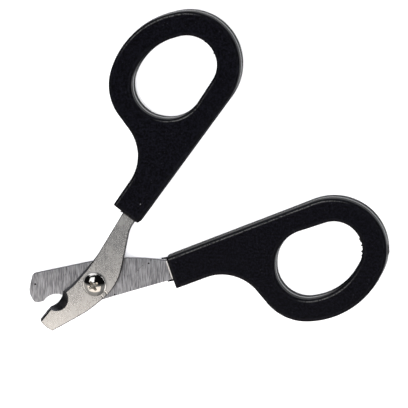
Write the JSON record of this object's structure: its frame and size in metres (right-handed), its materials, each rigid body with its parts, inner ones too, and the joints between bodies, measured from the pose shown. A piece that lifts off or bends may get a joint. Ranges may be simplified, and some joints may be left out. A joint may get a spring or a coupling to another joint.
{
  "type": "scissor nail clipper",
  "caption": "Scissor-action pet nail clipper: notched flat steel blades crossing on a domed cross-recess screw, with black moulded finger-loop grips.",
  "frame": {"origin": "centre of the footprint, on the surface that the clipper lies on", "axes": "+Z along the pivot screw, towards its domed head; +X towards the lower grip; +Y towards the upper grip"},
  "size_m": [0.1094, 0.0988, 0.0072],
  "materials": {
    "front_blade_steel": "satin stainless steel with dark ground bevels",
    "back_blade_steel": "stainless steel with a grey cross-brushed grain",
    "screw_nickel": "polished nickel plate",
    "nut_steel": "zinc-plated steel",
    "grip_plastic": "fine-grained black moulded plastic with a glossier parting line"
  },
  "bodies": {
    "lower_lever": {"back_blade": "back_blade_steel", "lower_grip": "grip_plastic", "pivot_screw": "screw_nickel", "pivot_nut": "nut_steel"},
    "upper_lever": {"front_blade": "front_blade_steel", "upper_grip": "grip_plastic"}
  },
  "joints": [
    {"name": "pivot", "type": "hinge", "parent": "lower_lever", "child": "upper_lever", "pos_m": [-0.03379, -0.0343, 0.00355], "axis": [0, 0, 1], "range_deg": [-31, 25]}
  ]
}
